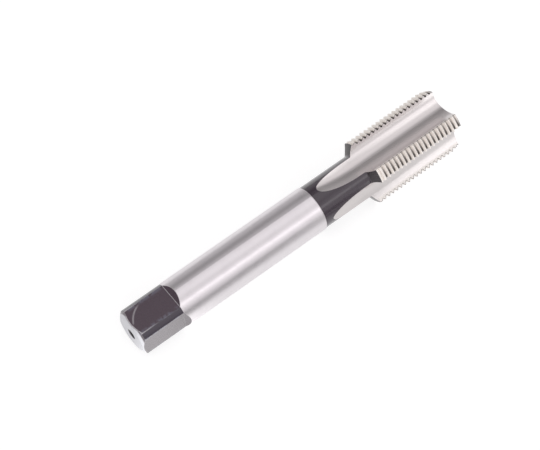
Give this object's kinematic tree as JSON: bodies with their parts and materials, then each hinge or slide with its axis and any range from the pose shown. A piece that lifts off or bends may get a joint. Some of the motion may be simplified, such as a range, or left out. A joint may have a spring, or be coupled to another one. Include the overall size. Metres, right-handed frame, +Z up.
{
  "type": "thread tap",
  "caption": "Straight-flute hand and machine tap with a plain ground shank, a driving square and four threaded cutting lands; lies on its thread and shank.",
  "frame": {"origin": "under the middle of the tap, on the surface that it lies on", "axes": "+X along the tap towards the cutting end, +Y to its left, +Z up; the tool's own axis rises towards +X by about 1.2 degrees, because the thread is thicker than the shank"},
  "size_m": [0.1122, 0.0168, 0.0173],
  "materials": {
    "steel": "ground bright, with dark oxide left on the neck, the shoulders and the square's flats"
  },
  "bodies": {
    "root": {"tap": "steel"}
  },
  "joints": []
}
